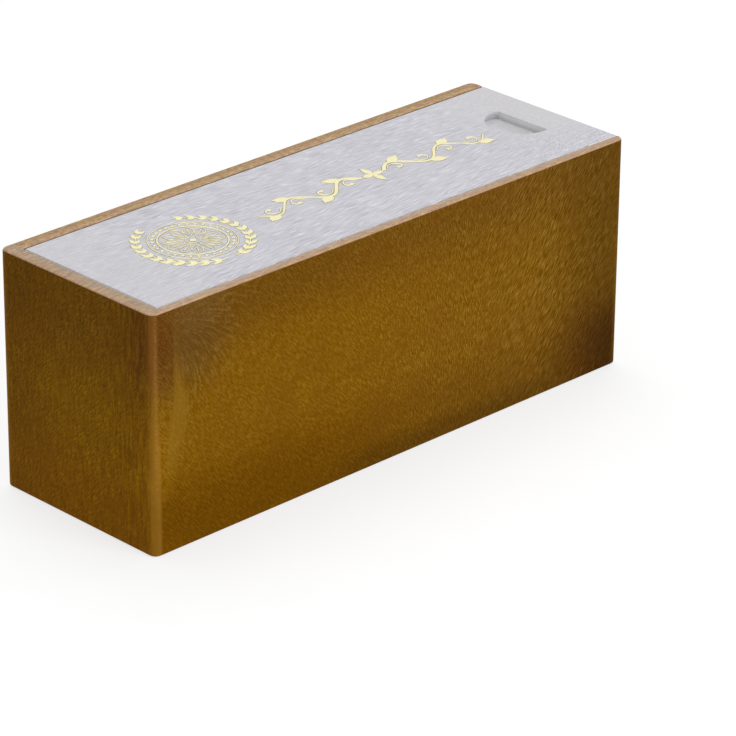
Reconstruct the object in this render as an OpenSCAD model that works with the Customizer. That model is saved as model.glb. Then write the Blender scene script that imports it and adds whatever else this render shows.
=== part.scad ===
// A lidded box for a set of domino tiles, in wood. Four boards stand round a let-in
// bottom panel, and the lid slides in undercut grooves cut along the boards' tops.
// Millimetres, +Z up. The origin is the middle of the underside. The lid leaves
// the box towards +X, over the lower exit end board.

/* [Box] */
// Length over the closed end and the exit end
box_l = 192; // [150:1:260]
// Width over the two long boards
box_w = 65; // [54:1:120]
// Height with the lid shut
box_h = 75; // [40:1:130]
// Radius of the four upright outer corners
corner_r = 2.5; // [2:0.25:4]
// Rounding of the outer edges, top and bottom
edge_r = 0.8; // [0.3:0.1:1]

/* [Boards] */
// Thickness of the four boards
board_t = 7.5; // [6.5:0.5:12]
// Thickness of the closed end board outside its corner rebates
end_lap_t = 5; // [3:0.1:6]
// How far the exit end board is housed in each long board
exit_housing = 3; // [1:0.5:4]

/* [Bottom] */
// Thickness of the bottom panel
bottom_t = 4; // [2:0.5:8]
// Width of the rebate that the bottom panel sits in
bottom_rebate = 4; // [2:0.5:5]

/* [Lid] */
// Thickness of the lid
lid_t = 5; // [4:0.5:8]
// How far the shut lid's face lies below the rim
lid_drop = 0.2; // [0:0.05:1]
// Width of the rim that shows along the lid's front edge
front_rim_w = 3.1; // [3:0.1:5.5]
// Width of the rim that shows along the lid's back edge
back_rim_w = 4.9; // [3:0.1:5.5]
// Width of the rim that shows at the closed end
end_rim_w = 4.7; // [3.5:0.1:6]
// How far the lid's bevelled edges reach in under the rim
bevel_w = 1.8; // [0.8:0.1:2.5]
// Clearance between the lid's edges and the grooves, measured flat
lid_gap = 0.3; // [0.2:0.05:0.5]
// Easing of the lid's upper edges
lid_ease = 0.6; // [0.1:0.05:0.9]
// Easing of the rim's inner edges
rim_ease = 0.3; // [0.1:0.05:0.6]

/* [Thumb notch] */
// Width of the notch along its upright wall
notch_w = 21; // [14:0.5:28]
// Length of the notch from its upright wall to the tip of its rounded end
notch_l = 12; // [9:0.5:20]
// Depth of the notch at its upright wall
notch_d = 2.4; // [1:0.1:3]
// Distance of the upright wall from the lid's exit end
notch_inset = 12; // [8:0.5:30]

/* [Hidden] */
$fn = 96;

x_end = box_l / 2;
y_side = box_w / 2;
// Middle line of the lid between the two rims, and half the distance between them
lid_mid_y = (front_rim_w - back_rim_w) / 2;
rim_half = (box_w - front_rim_w - back_rim_w) / 2;
// The lid lies on the ledges along the boards and on the exit end board
lid_top = box_h - lid_drop;
ledge_z = lid_top - lid_t;
// How far a cutter runs past the wood where it breaks out
past = 1;
// Radius of the notch's rounded end, from its width at the wall and its length
notch_r = (pow(notch_l, 2) + pow(notch_w / 2, 2)) / (2 * notch_l);
notch_wall_x = x_end - notch_inset;

wood_brown = [0.44, 0.29, 0.10];
raw_ply = [0.62, 0.47, 0.28];
silver_grey = [0.78, 0.78, 0.81];

// Half of an upright section through the box, its outer edges rounded
module edge_profile(reach) {
    translate([0, edge_r]) square([reach, box_h - 2 * edge_r]);
    square([reach - edge_r, box_h]);
    for (z = [edge_r, box_h - edge_r])
        translate([reach - edge_r, z]) circle(edge_r);
}

// The outside of the finished box: every upright corner and outer edge is rounded
module outer_form() {
    for (side = [0, 1])
        mirror([0, side, 0])
            rotate([90, 0, 90])
                linear_extrude(box_l - 2 * corner_r, center = true) edge_profile(y_side);
    for (side = [0, 1])
        mirror([side, 0, 0])
            rotate([90, 0, 0])
                linear_extrude(box_w - 2 * corner_r, center = true) edge_profile(x_end);
    for (sx = [-1, 1], sy = [-1, 1])
        translate([sx * (x_end - corner_r), sy * (y_side - corner_r), 0])
            rotate_extrude() edge_profile(corner_r);
}

// How far a bevelled edge stands out at height z, from where its slope meets the rim's top
function bevel_at(z) = bevel_w * (box_h - z) / (box_h - ledge_z);

// Points down one bevelled edge that meets the rim's top at distance half from the middle.
// Near height crest its sharp edge is eased by a slope as high as ease, which falls back
// where ease is below zero, as on the lid, and otherwise opens out, as on the rim.
function bevelled_edge(half, crest, ease, top) =
    let (eased_z = crest - abs(ease))
    [
        [half + bevel_at(eased_z) + sign(ease) * (top - eased_z), top],
        [half + bevel_at(eased_z), eased_z],
        [half + bevel_w, ledge_z]
    ];

function mirrored(points) = [for (p = points) [-p[0], p[1]]];

// The form that slides: bevelled on both long edges and at the closed end, square at
// the exit end. The lid and the channel that it runs in are both made from it, and both
// lie a little in front of the middle.
module sliding_form(gap, crest, ease, top, exit_x) {
    across = bevelled_edge(rim_half - gap, crest, ease, top);
    along = bevelled_edge(x_end - end_rim_w - gap, crest, ease, top);
    translate([0, lid_mid_y, 0])
        intersection() {
            rotate([90, 0, 90])
                linear_extrude(2 * exit_x, center = true)
                    polygon(concat(across, [for (i = [2:-1:0]) mirrored(across)[i]]));
            rotate([90, 0, 0])
                linear_extrude(box_w, center = true)
                    polygon(concat(mirrored(along), [[exit_x, ledge_z], [exit_x, top]]));
        }
}

module lid_channel() {
    sliding_form(0, box_h, rim_ease, box_h + past, x_end + past);
}

module bottom_rebate_cut() {
    inset = board_t - bottom_rebate;
    translate([inset - x_end, inset - y_side, -past])
        cube([box_l - 2 * inset, box_w - 2 * inset, bottom_t + past]);
}

// A board blank, taken to its finished surfaces: the outside rounded, the lid's
// channel run along the top and the rebate for the bottom cut
module worked_board() {
    intersection() {
        difference() {
            children();
            lid_channel();
            bottom_rebate_cut();
        }
        outer_form();
    }
}

// The exit end board is lower by the lid's thickness, which lets the lid pass over it
module exit_end_blank() {
    length = box_w - 2 * board_t + 2 * exit_housing;
    translate([x_end - board_t, -length / 2, 0]) cube([board_t, length, ledge_z]);
}

// The long boards butt against the closed end board's lap, and house the exit end board
module long_blank() {
    difference() {
        translate([end_lap_t - x_end, -y_side, 0])
            cube([box_l - end_lap_t, board_t, box_h]);
        exit_end_blank();
    }
}

module closed_end_board() {
    color(wood_brown)
        worked_board() {
            union() {
                translate([-x_end, -y_side, 0]) cube([end_lap_t, box_w, box_h]);
                translate([-x_end, board_t - y_side, 0])
                    cube([board_t, box_w - 2 * board_t, box_h]);
            }
        }
}

module exit_end_board() {
    color(wood_brown) worked_board() exit_end_blank();
}

module front_board() {
    color(wood_brown) worked_board() long_blank();
}

module back_board() {
    color(wood_brown) worked_board() mirror([0, 1, 0]) long_blank();
}

module bottom_panel() {
    inset = board_t - bottom_rebate;
    color(raw_ply)
        translate([inset - x_end, inset - y_side, 0])
            cube([box_l - 2 * inset, box_w - 2 * inset, bottom_t]);
}

// A half-moon: a round cut stopped by an upright wall for the thumb to push on. The
// floor is deepest at the wall and runs out to nothing at the rounded tip.
module thumb_notch() {
    tip_x = notch_wall_x - notch_l;
    translate([0, lid_mid_y, 0])
        intersection() {
            translate([tip_x + notch_r, 0, ledge_z])
                cylinder(r = notch_r, h = lid_t + past);
            rotate([90, 0, 0])
                linear_extrude(2 * notch_r + 2 * past, center = true)
                    polygon([
                        [tip_x, lid_top],
                        [notch_wall_x, lid_top - notch_d],
                        [notch_wall_x, lid_top + past],
                        [tip_x - past, lid_top + past],
                        [tip_x - past, lid_top]
                    ]);
        }
}

module lid() {
    color(silver_grey)
        intersection() {
            difference() {
                sliding_form(lid_gap, lid_top, -lid_ease, lid_top, x_end);
                thumb_notch();
            }
            outer_form();
        }
}

closed_end_board();
exit_end_board();
front_board();
back_board();
bottom_panel();
lid();
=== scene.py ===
import math

import bmesh
import bpy
from mathutils import Euler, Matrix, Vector


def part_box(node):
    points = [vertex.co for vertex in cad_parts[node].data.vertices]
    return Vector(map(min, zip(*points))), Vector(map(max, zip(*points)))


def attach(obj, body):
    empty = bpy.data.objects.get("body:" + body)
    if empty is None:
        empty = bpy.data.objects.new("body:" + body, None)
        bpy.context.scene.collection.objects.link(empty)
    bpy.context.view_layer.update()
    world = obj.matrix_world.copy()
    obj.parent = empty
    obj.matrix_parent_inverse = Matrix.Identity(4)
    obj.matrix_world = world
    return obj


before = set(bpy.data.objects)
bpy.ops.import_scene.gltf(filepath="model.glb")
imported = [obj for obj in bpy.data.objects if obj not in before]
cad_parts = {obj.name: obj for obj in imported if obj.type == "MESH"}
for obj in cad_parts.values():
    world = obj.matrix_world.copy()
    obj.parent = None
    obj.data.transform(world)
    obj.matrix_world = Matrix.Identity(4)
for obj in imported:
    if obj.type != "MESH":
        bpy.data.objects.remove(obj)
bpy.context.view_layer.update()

# ---- Camera ----------------------------------------------------------------------------
# A long lens a good metre off the near corner and well above it: it looks down on the
# lid, along the long side and at the closed end.
MM = 0.001               # a millimetre, in the scene's metres
camera_place = Vector((-777.589, -807.716, 539.813)) * MM
camera_turn = (65.0305, -0.4716, -44.4022)
focal_length = 202.126
film_width = 36
lens = bpy.data.cameras.new("camera")
lens.lens = focal_length
lens.sensor_width = film_width
lens.clip_start = 50 * MM
lens.clip_end = 20000 * MM
camera = bpy.data.objects.new("camera", lens)
camera.location = camera_place
camera.rotation_euler = Euler([math.radians(turn) for turn in camera_turn])
bpy.context.collection.objects.link(camera)
bpy.context.scene.camera = camera

# ---- Table and light -------------------------------------------------------------------
# The box stands on a plain white sweep under large soft lamps. One stands off the long
# side, a second hangs above, and the closed end is left to the pale room.


class Wire:
    """One output socket of a node tree. Sums on it add Math nodes to that tree."""

    def __init__(self, tree, socket=None):
        self.tree = tree
        self.socket = socket

    def node(self, kind, settings, inputs, output=0):
        """Any other node: its settings go in first, then its sockets' values or links."""
        node = self.tree.nodes.new("ShaderNode" + kind)
        for name, value in settings.items():
            setattr(node, name, value)
        for name, value in inputs.items():
            if isinstance(value, Wire):
                self.tree.links.new(value.socket, node.inputs[name])
            else:
                node.inputs[name].default_value = value
        return Wire(self.tree, node.outputs[output])

    def math(self, operation, *values):
        return self.node("Math", {"operation": operation}, dict(enumerate(values)))

    def __add__(self, other):
        return self.math("ADD", self, other)

    def __sub__(self, other):
        return self.math("SUBTRACT", self, other)

    def __rsub__(self, other):
        return self.math("SUBTRACT", other, self)

    def __mul__(self, other):
        return self.math("MULTIPLY", self, other)

    def __truediv__(self, other):
        return self.math("DIVIDE", self, other)

    def __pow__(self, other):
        return self.math("POWER", self, other)

    def __abs__(self):
        return self.math("ABSOLUTE", self)

    __radd__ = __add__
    __rmul__ = __mul__

    def rise(self, low, high):
        """0 below low, 1 above high and a smooth step between. It falls where low is the higher."""
        settings = {"interpolation_type": "SMOOTHSTEP"}
        if low < high:
            return self.node("MapRange", settings, {0: self, 1: low, 2: high, 3: 0.0, 4: 1.0})
        return self.node("MapRange", settings, {0: self, 1: high, 2: low, 3: 1.0, 4: 0.0})

    def band(self, start, full, fade, end):
        """1 from full to fade, and nothing before start or after end."""
        return self.rise(start, full) * self.rise(end, fade)

    def surface_place(self):
        """The place of a point of the surface on its own piece, in metres."""
        object_output = 3
        return self.node("TexCoord", {}, {}, object_output)

    def axis(self, index):
        """The x, y or z of a place, for index 0, 1 or 2."""
        return self.node("SeparateXYZ", {}, {0: self}, index)

    def vector(self, x, y, z):
        return self.node("CombineXYZ", {}, {0: x, 1: y, 2: z})

    def times(self, factor):
        """A colour or place, each of its parts times factor."""
        return self.node("VectorMath", {"operation": "SCALE"}, {0: self, 3: factor})

    def noise(self, place, scale=1.0, detail=2.0, roughness=0.5):
        inputs = {"Vector": place, "Scale": scale, "Detail": detail, "Roughness": roughness}
        return self.node("TexNoise", {}, inputs)

    def mix(self, share, first, second):
        """A colour between two colours or wires."""
        first = first if isinstance(first, Wire) else (*first, 1)
        second = second if isinstance(second, Wire) else (*second, 1)
        colour_output = 2
        return self.node("Mix", {"data_type": "RGBA"}, {0: share, 6: first, 7: second}, colour_output)

    def blend(self, share, first, second):
        """A number between two numbers or wires."""
        return self.node("Mix", {"data_type": "FLOAT"}, {0: share, 2: first, 3: second})


def new_finish(name):
    """An empty node material: its tree as a Wire, and the shader's sockets."""
    material = bpy.data.materials.new(name)
    material.use_nodes = True
    return material, Wire(material.node_tree), material.node_tree.nodes["Principled BSDF"].inputs


def connect(wire, socket):
    wire.tree.links.new(wire.socket, socket)


floor_reach = 6000 * MM
floor_drop = 0.05 * MM   # keeps the sweep clear of the underside
speck_scale = 40.0
sweep_grey = (0.29, 0.29, 0.29)
sweep_pale = (0.31, 0.31, 0.31)
floor_material, paper, floor_shader = new_finish("white_sweep")
speck = paper.noise(paper.surface_place(), speck_scale)
connect(paper.mix(speck, sweep_grey, sweep_pale), floor_shader["Base Color"])
floor_shader["Roughness"].default_value = 0.9
floor_shader["Specular IOR Level"].default_value = 0.1
floor_shader["Emission Color"].default_value = (1, 1, 1, 1)
floor_shader["Emission Strength"].default_value = 0.70
floor_mesh = bpy.data.meshes.new("floor")
floor_square = [(-1, -1), (1, -1), (1, 1), (-1, 1)]
floor_points = [(x * floor_reach, y * floor_reach, -floor_drop) for x, y in floor_square]
floor_mesh.from_pydata(floor_points, [], [(0, 1, 2, 3)])
floor_mesh.materials.append(floor_material)
floor = bpy.data.objects.new("floor", floor_mesh)
bpy.context.collection.objects.link(floor)

lit_place = Vector((0, 0, 0.04))


def lamp(name, place, power, size):
    """A square soft lamp that faces the box. Place and size are in metres, power in watts."""
    light = bpy.data.lights.new(name, "AREA")
    light.energy = power
    light.size = size
    holder = bpy.data.objects.new(name, light)
    holder.location = place
    holder.rotation_euler = (Vector(place) - lit_place).to_track_quat("Z", "Y").to_euler()
    bpy.context.collection.objects.link(holder)


lamp("side_lamp", (0.25, -1.3, 0.55), power=10, size=0.8)
lamp("top_lamp", (0.3, 0.5, 1.6), power=11, size=1.2)

room_strength = 0.62
world = bpy.data.worlds.new("pale_room")
world.use_nodes = True
world.node_tree.nodes["Background"].inputs["Color"].default_value = (1, 1, 1, 1)
world.node_tree.nodes["Background"].inputs["Strength"].default_value = room_strength
bpy.context.scene.world = world
bpy.context.scene.view_settings.view_transform = "Standard"

# ---- Four boards -----------------------------------------------------------------------
# Boards of fine even wood, 7.5 mm thick, glued at their rebated corners and stained a
# golden brown after a swirling sanding. Lacquer covers the outside and the rim, and the
# inside and the lid's grooves are bare wood.
front_low, front_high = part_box("front_board")
closed_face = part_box("closed_end_board")[0].x
exit_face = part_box("exit_end_board")[1].x
half_length = (exit_face - closed_face) / 2 / MM
half_width = -front_low.y / MM
box_height = front_high.z / MM
closed_joint = front_low.x / MM

# Places are in millimetres. Each zone of the finish is a number from 0 to 1, which rises
# or falls smoothly between two places on the box.
board_material, wood, board_shader = new_finish("lacquered_wood")
spot = wood.surface_place().times(1 / MM)
x = spot.axis(0)
y = spot.axis(1)
z = spot.axis(2)
from_end = half_length - abs(x)
from_side = half_width - abs(y)
depth = wood.math("MINIMUM", from_end, from_side)
from_corner = wood.math("MAXIMUM", from_end, from_side)
on_end = (from_side - from_end).rise(-0.5, 0.5)
to_exit = x.rise(-30.0, 70.0)
past_middle = x.rise(-50.0, 20.0)
by_corner = x.rise(-50.0, -70.0) * y.rise(20.0, 0.0)

# The sanding strokes are short. They turn from one lean to the next along a long side, and
# the closed end has the leans of the half beside it.
end_shift = 30.0
along = wood.blend(on_end, x, y - end_shift)
turn_start = along.rise(-40.0, 30.0)
turn_end = along.rise(10.0, 60.0)


def strokes(lean, length, width, seed):
    """Noise drawn out into strokes that lean by an angle in degrees from the box's length."""
    run = math.cos(math.radians(lean))
    climb = math.sin(math.radians(lean))
    place = wood.vector((along * run + z * climb) / length, (z * run - along * climb) / width, seed)
    return wood.noise(place, detail=1.0)


def sanded(length, width, seed):
    """Strokes whose lean changes along a face."""
    left = strokes(130, length, width, seed)
    middle = strokes(98, length * 0.85, width * 0.93, seed + 20)
    right = strokes(56, length * 1.3, width * 0.86, seed + 40)
    return wood.blend(turn_end, wood.blend(turn_start, left, middle), right)


# High on the long sides, by the closed end, they fan out from one point
fan_x = -89.0
fan_z = 70.0
fan_bend = 0.012         # radians for each millimetre out
fan_density = 24.0       # strokes to a radian
fan_stroke = 4.5
fan_run = x - fan_x
fan_drop = z - fan_z
fan_reach = (fan_run * fan_run + fan_drop * fan_drop) ** 0.5
fan_turn = wood.math("ARCTAN2", fan_drop, fan_run) + fan_reach * fan_bend
fan = wood.noise(wood.vector(fan_reach / fan_stroke, fan_turn * fan_density, 7.0), detail=1.0)
fan_share = fan_reach.band(2.0, 10.0, 16.0, 42.0) * x.rise(-91.0, -85.0) * (1 - on_end)

# The tone is low in the bottoms of the strokes and high on their ridges. The closed end
# was wiped up and down as well.
coarse = wood.blend(fan_share * 0.7, sanded(length=3.4, width=0.42, seed=0.0), fan)
fine = wood.blend(fan_share * 0.3, sanded(length=2.3, width=0.31, seed=100.0), fan)
grit = wood.noise(spot, 1.5, roughness=0.7)
tone = coarse.rise(0.42, 0.62) * (0.20 + to_exit * 0.10)
tone = tone + fine.rise(0.41, 0.61) * (0.44 + to_exit * 0.14)
tone = tone + grit.rise(0.36, 0.64) * (0.36 - to_exit * 0.24)
wiped = wood.noise(wood.vector(y * 1.1, z * 0.12, 5.0), roughness=0.6)
wipe_share = on_end * (0.22 + y.rise(-10.0, -24.0) * 0.16)
tone = wood.blend(wipe_share, tone, wiped.rise(0.36, 0.64))
cloud = wood.noise(spot, 0.11, detail=3.0, roughness=0.6).rise(0.36, 0.64)

# How light the stain is painted. On the long sides it is lightest in the middle and darker
# towards the foot, the top and the exit end; the closed end is darker, most of all high up
# and towards the back. Smaller zones by an edge or a corner darken it a little, the foot by
# the closed end is a little lighter, and a painted glow lightens both faces beside the front
# corner of the closed end, below the middle.
foot = z.rise(31.0, 10.0)
head = (z + x.rise(-56.0, -80.0) * 5.0 + on_end * 5.0).rise(49.0, 72.0)
exit_fade = x.rise(52.0, 94.0) * (0.24 + z.rise(68.0, 52.0) * 0.16 + z.rise(34.0, 10.0) * 0.30)
foot_edge = z.rise(10.0, 3.0) * x.band(-40.0, -5.0, 50.0, 78.0)
foot_corner = z.rise(9.0, 3.0) * x.rise(-78.0, -90.0)
head_corner = x.rise(-62.0, -82.0) * z.band(40.0, 53.0, 60.0, 72.0)
near_edge = y.rise(-14.0, -28.0) * z.band(22.0, 34.0, 58.0, 70.0)
far_edge = y.rise(10.0, 24.0) * z.band(16.0, 28.0, 42.0, 54.0)
red_share = from_corner.rise(13.0, 4.0) * z.rise(44.0, 62.0) * by_corner
# A painted highlight: lightens both faces beside the front corner of the closed end
painted_corner_glow = from_corner.rise(9.0, 6.0) * z.band(12.0, 22.0, 32.0, 46.0) * by_corner


def darken(shade, *zones):
    """Takes a share of each zone off a shade. A share below zero makes it lighter."""
    for zone, share in zones:
        shade = shade * (1 - zone * share)
    return shade


long_shade = (1 - foot * (0.29 - past_middle * 0.11)) * (1 - head * (0.25 - past_middle * 0.06))
long_shade = darken(
    long_shade * (1 - exit_fade),
    (foot_edge, 0.31),
    (to_exit, 0.04),
    (head_corner, 0.12),
    (foot_corner, -0.11),
)
end_shade = 0.90 - z.rise(36.0, 68.0) * 0.25
end_shade = end_shade * (1 - y.rise(0.0, 28.0) * 0.12 - y.rise(30.2, 31.6) * 0.16)
end_shade = darken(end_shade, (far_edge, 0.09), (near_edge, 0.07))
shade = darken(wood.blend(on_end, long_shade, end_shade), (red_share, 0.13), (painted_corner_glow, -0.14))
contrast = (1 - foot * 0.25) * (0.42 + to_exit * 0.34 + on_end * 0.38) * (0.7 + cloud * 0.6)
contrast = darken(contrast, (x.rise(84.0, 92.0), 0.4), (fan_share, 0.15))

# The stain's colour is goldenest in the middle. Pale strokes stand out of it: the sanding
# scratches, with the sheen they catch painted into their colour.
stain_gold = (0.170, 0.0740, 0.0003)
stain_foot = (0.170, 0.0635, 0.0001)
stain_head = (0.170, 0.0700, 0.0030)
stain_red = (0.170, 0.0600, 0.0050)
stain_low = (0.170, 0.0550, 0.0005)
stain_ruddy = (0.170, 0.0630, 0.0010)
stain_pale_grey = (0.170, 0.0800, 0.0170)
sheen_pale = (0.350, 0.260, 0.075)
sheen_gold = (0.350, 0.260, 0.010)
sheen_olive = (0.330, 0.265, 0.095)
low_exit = x.rise(62.0, 82.0) * z.rise(34.0, 8.0)
# Paler and greyer high on the front by the closed end
pale_top = head * x.rise(-60.0, -82.0) * (1 - on_end)
stain = wood.mix(head, wood.mix(foot * (1 - past_middle * 0.5), stain_gold, stain_foot), stain_head)
stain = wood.mix(pale_top, stain, stain_pale_grey)
stain = wood.mix(low_exit, stain, stain_low)
stain = wood.mix(on_end * (y.rise(0.0, 24.0) + near_edge) * 0.45, stain, stain_ruddy)
stain = wood.mix((1 - cloud) * 0.35, stain, stain_ruddy)
stain = wood.mix(red_share, stain, stain_red)
# Painted sheen on the pale strokes of the sanding scratches
scratch_sheen = wood.mix(wood.math("MAXIMUM", on_end, foot * (1 - past_middle)), sheen_pale, sheen_gold)
stain = wood.mix(tone.rise(0.32, 0.85) * (0.11 + to_exit * 0.07), stain, scratch_sheen)
stain = wood.mix(fan.rise(0.48, 0.66) * fan_share * 0.07, stain, sheen_olive)
stain = stain.times(shade * (1 + (tone - 0.5) * contrast) * (0.97 + cloud * 0.06))

# Beside the front corner of the closed end, a straw-coloured streak is a painted reflection
straw_reflection = (0.235, 0.1240, 0.0110)
reflection_near = 8.0 - z.rise(52.0, 26.0) * 3.2
reflection_far = 9.4 + z.rise(62.0, 42.0) * 3.4 - z.rise(42.0, 24.0) * 4.4
reflection_streak = (from_corner - reflection_near).rise(-0.7, 0.9) * (from_corner - reflection_far).rise(1.9, -1.5)
reflection_streak = reflection_streak * (1 - on_end) * by_corner * z.band(20.0, 34.0, 46.0, 76.0)
body = wood.mix(reflection_streak * 0.5, stain, straw_reflection)

# The upright corners are lighter, less so at the exit: the stain is rubbed thin there, and a
# painted highlight runs along the rounding. On the front corner of the closed end pale
# specks along it are a painted highlight too.
rubbed_gold_highlight = (0.290, 0.1400, 0.0170)
rubbed_ruddy_highlight = (0.250, 0.1030, 0.0220)
highlight_speck = (0.430, 0.2700, 0.1300)
on_round = from_end - from_side
low = z.rise(50.0, 26.0)
rubbed_and_highlight = on_round.rise(-3.6, -0.4) * (on_round - low * 0.7).rise(2.7, 1.3) * (0.40 + low * 0.20)
rubbed_and_highlight = rubbed_and_highlight * (1 - x.rise(-40.0, 80.0) * 0.8)
body = wood.mix(rubbed_and_highlight, body, wood.mix(head, rubbed_gold_highlight, rubbed_ruddy_highlight).times(1 - foot * 0.10))
highlight_speckle = wood.noise(spot, 1.9, roughness=0.7).rise(0.48, 0.66)
highlight_ridge = on_round.band(0.3, 0.9, 1.3, 1.9) * by_corner * z.rise(10.0, 30.0)
body = wood.mix(highlight_ridge * (0.01 + highlight_speckle * 0.20), body, highlight_speck)

# The rim is peach at the front, browner at the back and pinkish over the closed end, with
# rose and straw spots. A fine dark line marks the butt joints, and a darker band runs
# along the back.
rim_peach = (0.442, 0.292, 0.186)
rim_pale = (0.470, 0.352, 0.272)
rim_brown = (0.370, 0.243, 0.128)
rim_tan = (0.445, 0.302, 0.180)
rim_pink = (0.390, 0.298, 0.226)
rim_rose = (0.450, 0.265, 0.205)
rim_straw = (0.500, 0.380, 0.200)
over_end = x.rise(closed_joint + 0.1, closed_joint - 0.1)
at_back = y.rise(18.0, 29.0)
inward = depth.rise(0.0, 2.4)
rim = wood.mix(at_back, wood.mix(inward, rim_peach, rim_pale), wood.mix(inward, rim_brown, rim_tan))
rim = wood.mix(over_end, rim, wood.mix(inward, rim_peach, rim_pink))
rim = wood.mix(wood.noise(spot, 0.42, roughness=0.6).rise(0.48, 0.66) * 0.5, rim, rim_rose)
rim = wood.mix(wood.noise(spot, 0.55, detail=1.0).rise(0.5, 0.36) * 0.3, rim, rim_straw)
rim_flecks = wood.noise(wood.vector(x * 0.62, y * 1.1, 3.0), roughness=0.7).rise(0.40, 0.60) - 0.5
rim = rim.times(1 + rim_flecks * (0.12 + at_back * 0.18))
rim_place = wood.vector(x * 0.25, y * (2.0 - over_end * 0.9), over_end * 9.0)
rim_grain = wood.noise(rim_place, detail=3.0, roughness=0.7).rise(0.36, 0.64)
joint_line = abs(x - closed_joint).rise(0.22, 0.08)
rim_dip = depth.band(1.0, 1.5, 2.7, 3.4) * at_back * (1 - over_end)
rim = rim.times(darken(0.85 + rim_grain * 0.32, (joint_line, 0.12), (rim_dip, 0.13)))

# Inside and in the grooves the wood is bare
bare_pale = (0.560, 0.400, 0.240)
bare_deep = (0.470, 0.320, 0.180)
lacquer_tint = (1.0, 0.66, 0.05, 1)
bare_place = wood.vector(x * 0.09, y * 0.9, z * 0.9)
bare_grain = wood.noise(bare_place, detail=4.0, roughness=0.6).rise(0.3, 0.7)
rim_edge = box_height - 0.55
inside = depth.rise(1.3, 1.7) * z.rise(rim_edge + 0.10, rim_edge)
colour = wood.mix(z.rise(rim_edge, rim_edge + 0.25), body, rim)
colour = wood.mix(inside, colour, wood.mix(bare_grain, bare_deep, bare_pale))
connect(colour, board_shader["Base Color"])
connect(0.34 + tone * 0.10 + inside * 0.25, board_shader["Roughness"])
board_shader["Specular IOR Level"].default_value = 0.02
board_shader["Specular Tint"].default_value = lacquer_tint
board_shader["Metallic"].default_value = 0.25


def bump(height, strength, distance):
    """The relief of a wire's heights, for a shader's normal."""
    return height.node("Bump", {}, {"Strength": strength, "Distance": distance, "Height": height})


def dress(name, material):
    """Gives one of the box's solids its finish."""
    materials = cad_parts[name].data.materials
    materials.clear()
    materials.append(material)


connect(bump(tone + rim_grain * 0.3, 0.12, 0.2 * MM), board_shader["Normal"])
for name in ("closed_end_board", "exit_end_board", "front_board", "back_board"):
    dress(name, board_material)

# ---- Bottom panel ----------------------------------------------------------------------
# A 4 mm plywood panel glued into a rebate round the underside, flush with the boards.
# Its face veneer is sealed but not stained.
ply_material, ply, ply_shader = new_finish("bottom_plywood")
veneer_pale = (0.50, 0.35, 0.19)
veneer_deep = (0.30, 0.185, 0.085)
veneer_stretch = (60, 900, 900)
ply_place = ply.node("VectorMath", {"operation": "MULTIPLY"}, {0: ply.surface_place(), 1: veneer_stretch})
veneer = ply.noise(ply_place, detail=5.0, roughness=0.6)
connect(ply.mix(veneer.rise(0.3, 0.72), veneer_deep, veneer_pale), ply_shader["Base Color"])
connect(0.55 + veneer * 0.15, ply_shader["Roughness"])
connect(bump(veneer, 0.15, 0.2 * MM), ply_shader["Normal"])
dress("bottom_panel", ply_material)

# ---- Lid -------------------------------------------------------------------------------
# A 5 mm board whose bevelled edges slide in the boards' grooves. It is painted a satin
# silver-grey, and short fine brush marks run along it. They cross near the front of the
# exit end, fade behind there, and are fainter at the closed end.
lid_low, lid_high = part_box("lid")
lid_top = lid_high.z / MM
lid_middle = (lid_low.y + lid_high.y) / 2 / MM
lid_material, paint, lid_shader = new_finish("lid_finish")
lid_spot = paint.surface_place().times(1 / MM)
lid_x = lid_spot.axis(0)
lid_y = lid_spot.axis(1)
lid_z = lid_spot.axis(2)

# How far the brush strayed to the side, in millimetres
stray = paint.noise(lid_spot, 0.24, detail=1.0) * 1.2


def brush(slant, length, width, detail, seed):
    """Noise drawn out along the lid. A positive slant leads towards the front."""
    place = paint.vector((lid_x - lid_y * slant) / length, (lid_y + lid_x * slant + stray) / width, seed)
    return paint.noise(place, detail=detail)


near_front = lid_y.rise(6.0, -12.0)
exit_front = lid_x.rise(58.0, 74.0) * lid_y.rise(2.0, -14.0)
back_marks = brush(slant=0.07, length=6.6, width=0.38, detail=1.0, seed=0.0)
front_marks = brush(slant=-0.09, length=8.5, width=0.38, detail=1.0, seed=9.0)
crossing_marks = brush(slant=-0.60, length=2.6, width=0.40, detail=1.0, seed=60.0)
marks = paint.blend(exit_front * 0.6, paint.blend(near_front, back_marks, front_marks), crossing_marks)
back_ticks = brush(slant=0.07, length=3.6, width=0.30, detail=0.0, seed=30.0)
front_ticks = brush(slant=-0.11, length=4.4, width=0.30, detail=0.0, seed=39.0)
ticks = paint.blend(near_front, back_ticks, front_ticks)
brushed = 1 - lid_x.rise(62.0, 92.0) * lid_y.rise(-26.0, -4.0)
brushed = brushed * (1 - lid_x.rise(-62.0, -84.0) * 0.45)
patches = paint.noise(lid_spot, 0.20, detail=1.0).rise(0.36, 0.64)
mottle = paint.noise(lid_spot, 0.06)
scuffs = paint.noise(lid_spot, 0.8, roughness=0.6).rise(0.38, 0.64)
lid_tone = (marks.rise(0.34, 0.66) - 0.5) * (0.36 + patches * 0.20)
lid_tone = (lid_tone + ticks.rise(0.58, 0.74) * 0.46 + 0.17) * (0.3 + brushed * 0.7)
lid_tone = lid_tone + mottle * 0.2 + (1 - brushed) * (scuffs * 0.3 + 0.02) + 0.17
silver_light = (0.700, 0.690, 0.730)
silver_deep = (0.370, 0.365, 0.405)
silver_plain = (0.560, 0.548, 0.545)
silver = paint.mix(lid_tone, silver_deep, silver_light)
silver = paint.mix((1 - brushed) * 0.6, silver, silver_plain)
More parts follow.
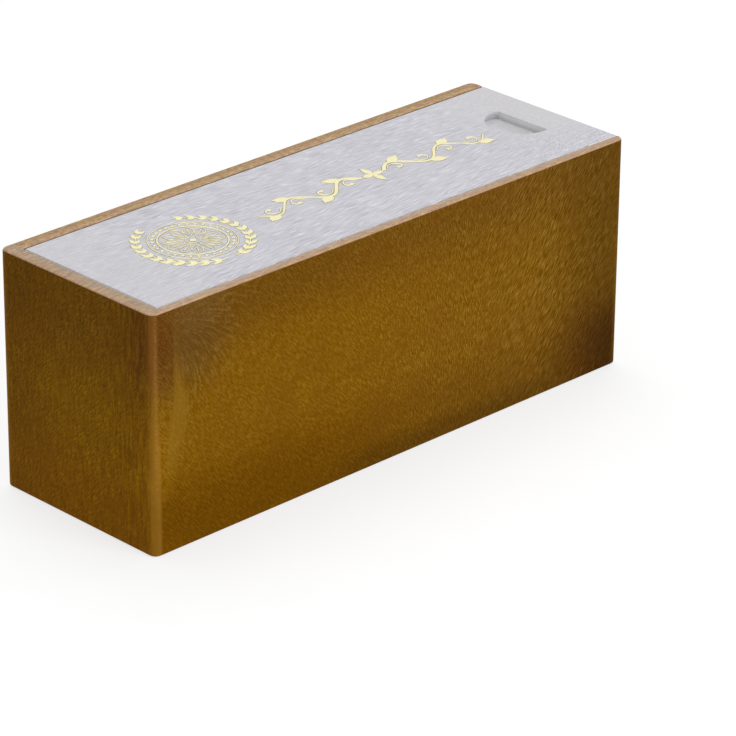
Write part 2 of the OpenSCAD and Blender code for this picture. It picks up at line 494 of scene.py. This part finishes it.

# Painted shade darkens the paint down in the thumb notch, most of all round the back of the
# curve. The upright wall is painted paler, as painted light, and greyer at its foot, a painted
# shadow.
silver_wall_lit = (0.790, 0.800, 0.790)
silver_foot_shadow = (0.640, 0.650, 0.645)
notch_inset = 12.0
notch_length = 12.0
notch_radius = 10.6
notch_wall = lid_high.x / MM - notch_inset
notch_centre = notch_wall - notch_length + notch_radius
shade_depth = lid_z.rise(lid_top - 0.3, lid_top - 1.2)
in_notch = lid_z.rise(lid_top - 0.02, lid_top - 0.10)
from_centre = ((lid_x - notch_centre) ** 2.0 + (lid_y - lid_middle) ** 2.0) ** 0.5
hollow_shade = from_centre.rise(notch_radius - 3.4, notch_radius - 0.6) * lid_y.rise(-1.0, 5.0)
hollow_shade = hollow_shade * lid_x.rise(notch_wall - 0.4, notch_wall - 4.0)
upright = lid_x.rise(notch_wall - 0.35, notch_wall - 0.05)
wall_foot_shadow = lid_z.rise(lid_top - 0.8, lid_top - 2.2)
# Painted shade in the notch, painted light on its wall and painted shadow at its foot
silver = silver.times(darken(1 - shade_depth * 0.12, (hollow_shade * in_notch, 0.12)))
silver = paint.mix(upright * in_notch, silver, paint.mix(wall_foot_shadow, silver_wall_lit, silver_foot_shadow))
connect(silver, lid_shader["Base Color"])
connect(0.42 + marks * 0.12, lid_shader["Roughness"])
lid_shader["Specular IOR Level"].default_value = 0.4
connect(bump(marks * brushed, 0.10, 0.2 * MM), lid_shader["Normal"])
dress("lid", lid_material)

# ---- Foil ornament ---------------------------------------------------------------------
# Pale gold foil, hot-pressed on the lid in one pass: a twelve-petalled rosette in a laurel
# wreath, and a vine that runs out both ways from a lozenge. Each stroke is a low bar
# with sloping sides.
foil_rise = 0.10
foil_layer = 0.012
foil_shoulder = 0.20
foil_least_flat = 0.4    # of the half width, for a stroke too thin for its shoulders
foil_top = lid_top + foil_rise
foil_gold = (1.000, 0.950, 0.620)
foil_amber = (0.960, 0.860, 0.420)
foil_edge_reflection = (0.300, 0.240, 0.070)
foil_black_reflection = (0.030, 0.024, 0.010)

foil_material, foil, foil_shader = new_finish("gold_foil")
foil_spot = foil.surface_place().times(1 / MM)
crinkle = foil.noise(foil_spot, 1.6, detail=3.0, roughness=0.6)

# The crinkled tops are pale. The sloping sides carry a painted dark reflection, in patches
# almost black.
slope = foil_spot.axis(2).rise(foil_top - 0.001, foil_top - 0.04)
gold = foil.mix(crinkle.rise(0.35, 0.7), foil_gold, foil_amber)
dark_edge_reflection = foil.mix(foil.noise(foil_spot, 0.28, detail=1.0).rise(0.46, 0.56), foil_edge_reflection, foil_black_reflection)
connect(foil.mix(slope * 0.9, gold, dark_edge_reflection), foil_shader["Base Color"])
connect(0.22 + crinkle * 0.16, foil_shader["Roughness"])
foil_shader["Metallic"].default_value = 0.35
connect(bump(crinkle, 0.2, 0.1 * MM), foil_shader["Normal"])


def stroke(mesh, path, widths, closed=False, layer=0):
    """Adds one stroke of foil along path, in millimetres on the lid's face.

    A stroke that crosses another lies in the next layer, a hair higher.
    """
    top = foil_rise + layer * foil_layer
    rings = []
    last = len(path) - 1
    for i, point in enumerate(path):
        before = path[i - 1] if i > 0 or closed else point
        after = path[(i + 1) % len(path)] if i < last or closed else point
        side = (after - before).orthogonal().normalized()
        half = widths[i] / 2
        flat = max(half - foil_shoulder, half * foil_least_flat)
        section = [(-half, 0), (-flat, top), (flat, top), (half, 0)]
        ring = []
        for out, up in section:
            place = point + side * out
            ring.append(mesh.verts.new((place.x * MM, place.y * MM, lid_high.z + up * MM)))
        rings.append(ring)
    corners = len(section)
    for i in range(len(rings) if closed else last):
        here = rings[i]
        there = rings[(i + 1) % len(rings)]
        for j in range(corners):
            mesh.faces.new((here[j], here[(j + 1) % corners], there[(j + 1) % corners], there[j]))
    if not closed:
        mesh.faces.new(rings[0][::-1])
        mesh.faces.new(rings[-1])


def heading_vector(turn):
    """One millimetre along a heading in degrees, from the box's length."""
    return Vector((math.cos(math.radians(turn)), math.sin(math.radians(turn))))


def arc(centre, radius, start, end, count):
    """Points along an arc. The angles are in degrees."""
    turns = [start + (end - start) * i / (count - 1) for i in range(count)]
    return [centre + heading_vector(turn) * radius for turn in turns]


def circle(mesh, centre, radius, width):
    count = 72
    stroke(mesh, arc(centre, radius, 0, 360 - 360 / count, count), [width] * count, closed=True)


def bead(mesh, centre, radius, layer=0):
    """A round dot, as a stroke that widens and narrows."""
    slices = 12
    turns = [math.pi * (i + 0.5) / slices for i in range(slices)]
    path = [centre - Vector((math.cos(turn), 0)) * radius for turn in turns]
    stroke(mesh, path, [2 * radius * math.sin(turn) for turn in turns], layer=layer)


def leaf(mesh, root, heading, length, width, bend=0.0, layer=1):
    """A pointed leaf from root, heading and bending by angles in degrees."""
    slices = 12
    tip_width = 0.06
    belly = 0.8              # below 1 the leaf is widest nearer its root
    path = [root]
    for i in range(slices):
        path.append(path[-1] + heading_vector(heading + bend * i / slices) * length / slices)
    swells = [math.sin(math.pi * (i / slices) ** belly) for i in range(slices + 1)]
    stroke(mesh, path, [max(width * swell, tip_width) for swell in swells], layer=layer)


def petal(mesh, centre, heading, inner, outer, width, line):
    """The outline of a petal that points away from centre."""
    slices = 14
    belly = 1.4              # above 1 the petal is widest nearer its tip
    out = heading_vector(heading)
    side = out.orthogonal()
    path = []
    for i in range(2 * slices):
        share = i / slices if i <= slices else 2 - i / slices
        lean = math.sin(math.pi * share ** belly) * width / 2 * (1 if i <= slices else -1)
        path.append(centre + out * (inner + (outer - inner) * share) + side * lean)
    stroke(mesh, path, [line] * len(path), closed=True)


def press_foil(name, mesh):
    """Turns the strokes into a piece of foil that rides on the lid."""
    bmesh.ops.recalc_face_normals(mesh, faces=mesh.faces)
    data = bpy.data.meshes.new(name)
    mesh.to_mesh(data)
    mesh.free()
    data.materials.append(foil_material)
    piece = bpy.data.objects.new(name, data)
    bpy.context.collection.objects.link(piece)
    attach(piece, "lid")


# The rosette has a bead in a ring, petals with a ray in each, and a beaded border
rosette_centre = Vector((-52.0, lid_middle))
petals = 12
border_beads = 32
rosette = bmesh.new()
bead(rosette, rosette_centre, radius=1.1)
circle(rosette, rosette_centre, radius=2.1, width=0.5)
for i in range(petals):
    turn = 360 / petals * i
    ray = heading_vector(turn)
    petal(rosette, rosette_centre, turn, inner=2.7, outer=9.4, width=3.2, line=0.5)
    stroke(rosette, [rosette_centre + ray * 4.2, rosette_centre + ray * 7.9], widths=[0.3, 0.8])
circle(rosette, rosette_centre, radius=10.3, width=0.8)
for i in range(border_beads):
    bead(rosette, rosette_centre + heading_vector(360 / border_beads * i) * 11.7, radius=0.6)
circle(rosette, rosette_centre, radius=13.1, width=0.6)
press_foil("foil_rosette", rosette)

# The wreath's two stems start apart at the bottom, and leaves grow from both their sides
wreath_radius = 16.4
stem_points = 40
stem_start = 6           # degrees from the bottom of the wreath
stem_end = 160
leaf_start = 12
leaf_step = 12.4
leaf_pairs = 12
outer_lean = 55          # degrees from the spoke through a leaf's root
inner_lean = 125
wreath = bmesh.new()
for side in (-1, 1):
    stem = arc(rosette_centre, wreath_radius, side * stem_start - 90, side * stem_end - 90, stem_points)
    stroke(wreath, stem, [0.8 - 0.4 * i / (stem_points - 1) for i in range(stem_points)])
    for i in range(leaf_pairs):
        turn = -90 + side * (leaf_start + leaf_step * i)
        root = rosette_centre + heading_vector(turn) * wreath_radius
        size = 4.6 - 0.1 * i
        outer = turn + side * outer_lean
        inner = turn + side * inner_lean
        leaf(wreath, root, outer, size, width=1.8, bend=side * 30, layer=1 + i % 2)
        leaf(wreath, root, inner, size * 0.8, width=1.6, bend=-side * 20, layer=3 + i % 2)
press_foil("foil_wreath", wreath)

# The vine swings to and fro. A curl with a bead at its end grows from each crest, and two
# leaves on the other side.
vine_centre = Vector((20.0, lid_middle))
vine_start = 4.6
vine_wave = 21.0
vine_swing = 3.6
vine_points = 80
vine_length = 2 * vine_wave
crests = 4
curl_points = 36
curl_close = 44          # the point at which a curl would shrink to nothing
curl_size = 3.3
curl_drop = 4.0
curl_start = 0.2         # radians
curl_turn = 4.6
first_lean = 35          # degrees from the way that the vine runs
second_lean = 62
second_on = 2.4
vine = bmesh.new()
for side in (-1, 1):

    def on_vine(run):
        swing = vine_swing * math.sin(2 * math.pi * run / vine_wave)
        return vine_centre + Vector((side * (vine_start + run), swing))

    runs = [vine_length * i / (vine_points - 1) for i in range(vine_points)]
    stroke(vine, [on_vine(run) for run in runs], [1.6 - 0.8 * run / vine_length for run in runs])
    for i in range(crests):
        crest = vine_wave * (0.25 + 0.5 * i)
        flip = 1 if i % 2 == 0 else -1
        curl_centre = on_vine(crest) - Vector((0, flip * curl_drop))
        curl = []
        for j in range(curl_points):
            turn = flip * (curl_start + curl_turn * j / (curl_points - 1))
            size = curl_size * (1 - j / curl_close)
            curl.append(curl_centre + Vector((-side * math.cos(turn) * size, math.sin(turn) * size)))
        stroke(vine, curl, [0.6 + 0.4 * j / (curl_points - 1) for j in range(curl_points)], layer=1)
        bead(vine, curl[-1], radius=0.85, layer=2)
        hand = side * flip
        heading = 90 - side * (90 - flip * first_lean)
        leaf(vine, on_vine(crest), heading, 6.6 - 0.5 * i, width=2.6, bend=hand * -30, layer=3)
        heading = 90 - side * (90 - flip * second_lean)
        leaf(vine, on_vine(crest + second_on), heading, 5.0 - 0.3 * i, width=2.2, bend=hand * -25, layer=4)

# Four leaves make the lozenge, the upright two a little longer
for i, reach in enumerate((4.4, 6.0, 4.4, 6.0)):
    leaf(vine, vine_centre, 90 * i, reach, width=2.5, layer=5 + i % 2)
press_foil("foil_vine", vine)
